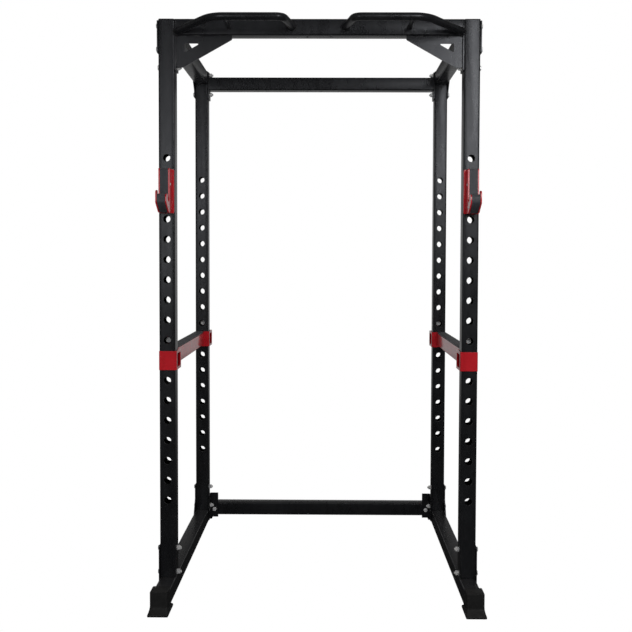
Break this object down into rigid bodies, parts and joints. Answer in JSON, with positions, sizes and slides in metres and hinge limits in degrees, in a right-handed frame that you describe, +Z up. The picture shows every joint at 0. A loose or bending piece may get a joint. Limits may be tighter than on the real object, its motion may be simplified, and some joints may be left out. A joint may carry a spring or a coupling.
{
  "type": "power cage",
  "caption": "Black square-tube power cage with perforated uprights, bent pull-up grips on the front beam, two red barbell hooks and two red safety bars that lift off.",
  "frame": {"origin": "on the floor, in the middle of the cage's footprint", "axes": "+Z up, -Y to the front where the pull-up grips and the hooks are, +X to the right seen from the front"},
  "size_m": [1.225, 1.27, 2.175],
  "materials": {
    "black_powder_coat": "satin black powder coat",
    "red_powder_coat": "satin red powder coat",
    "zinc_plated_steel": "bright zinc plate",
    "liner_plastic": "dull machined plastic",
    "black_plastic": "moulded, fine texture",
    "foot_rubber": "moulded rubber"
  },
  "bodies": {
    "frame": {"front_top_crossbeam": "black_powder_coat", "rear_top_crossbeam": "black_powder_coat", "rear_bottom_crossbeam": "black_powder_coat", "left_front_upright": "black_powder_coat", "left_rear_upright": "black_powder_coat", "left_front_upright_cap": "black_plastic", "left_rear_upright_cap": "black_plastic", "left_base_rail": "black_powder_coat", "left_top_rail": "black_powder_coat", "left_front_foot": "foot_rubber", "left_rear_foot": "foot_rubber", "left_rear_corner_bracket": "black_powder_coat", "left_gusset": "black_powder_coat", "left_pull_up_grip": "black_powder_coat", "left_front_top_bolt_1": "zinc_plated_steel", "left_front_top_bolt_2": "zinc_plated_steel", "left_rear_top_bolt_1": "zinc_plated_steel", "left_rear_top_bolt_2": "zinc_plated_steel", "left_front_base_bolt_1": "zinc_plated_steel", "left_front_base_bolt_2": "zinc_plated_steel", "left_rear_base_bolt_1": "zinc_plated_steel", "left_rear_base_bolt_2": "zinc_plated_steel", "left_beam_end_bolt": "zinc_plated_steel", "left_bracket_beam_bolt": "zinc_plated_steel", "right_front_upright": "black_powder_coat", "right_rear_upright": "black_powder_coat", "right_front_upright_cap": "black_plastic", "right_rear_upright_cap": "black_plastic", "right_base_rail": "black_powder_coat", "right_top_rail": "black_powder_coat", "right_front_foot": "foot_rubber", "right_rear_foot": "foot_rubber", "right_rear_corner_bracket": "black_powder_coat", "right_gusset": "black_powder_coat", "right_pull_up_grip": "black_powder_coat", "right_front_top_bolt_1": "zinc_plated_steel", "right_front_top_bolt_2": "zinc_plated_steel", "right_rear_top_bolt_1": "zinc_plated_steel", "right_rear_top_bolt_2": "zinc_plated_steel", "right_front_base_bolt_1": "zinc_plated_steel", "right_front_base_bolt_2": "zinc_plated_steel", "right_rear_base_bolt_1": "zinc_plated_steel", "right_rear_base_bolt_2": "zinc_plated_steel", "right_beam_end_bolt": "zinc_plated_steel", "right_bracket_beam_bolt": "zinc_plated_steel"},
    "left_hook": {"left_hook_bracket": "red_powder_coat", "left_hook_core": "liner_plastic"},
    "left_safety": {"left_safety_bar": "red_powder_coat", "left_safety_liner": "liner_plastic", "left_safety_front_bracket": "red_powder_coat", "left_safety_rear_bracket": "red_powder_coat"},
    "right_hook": {"right_hook_bracket": "red_powder_coat", "right_hook_core": "liner_plastic"},
    "right_safety": {"right_safety_bar": "red_powder_coat", "right_safety_liner": "liner_plastic", "right_safety_front_bracket": "red_powder_coat", "right_safety_rear_bracket": "red_powder_coat"}
  },
  "joints": [
    {"name": "left_hook_pull_out", "type": "slide", "parent": "frame", "child": "left_hook", "axis": [0, -1, 0], "range_m": [0, 0.05]},
    {"name": "left_safety_release", "type": "slide", "parent": "frame", "child": "left_safety", "axis": [0, -1, 0], "range_m": [0, 0.032]},
    {"name": "right_hook_pull_out", "type": "slide", "parent": "frame", "child": "right_hook", "axis": [0, -1, 0], "range_m": [0, 0.05]},
    {"name": "right_safety_release", "type": "slide", "parent": "frame", "child": "right_safety", "axis": [0, -1, 0], "range_m": [0, 0.032]}
  ]
}
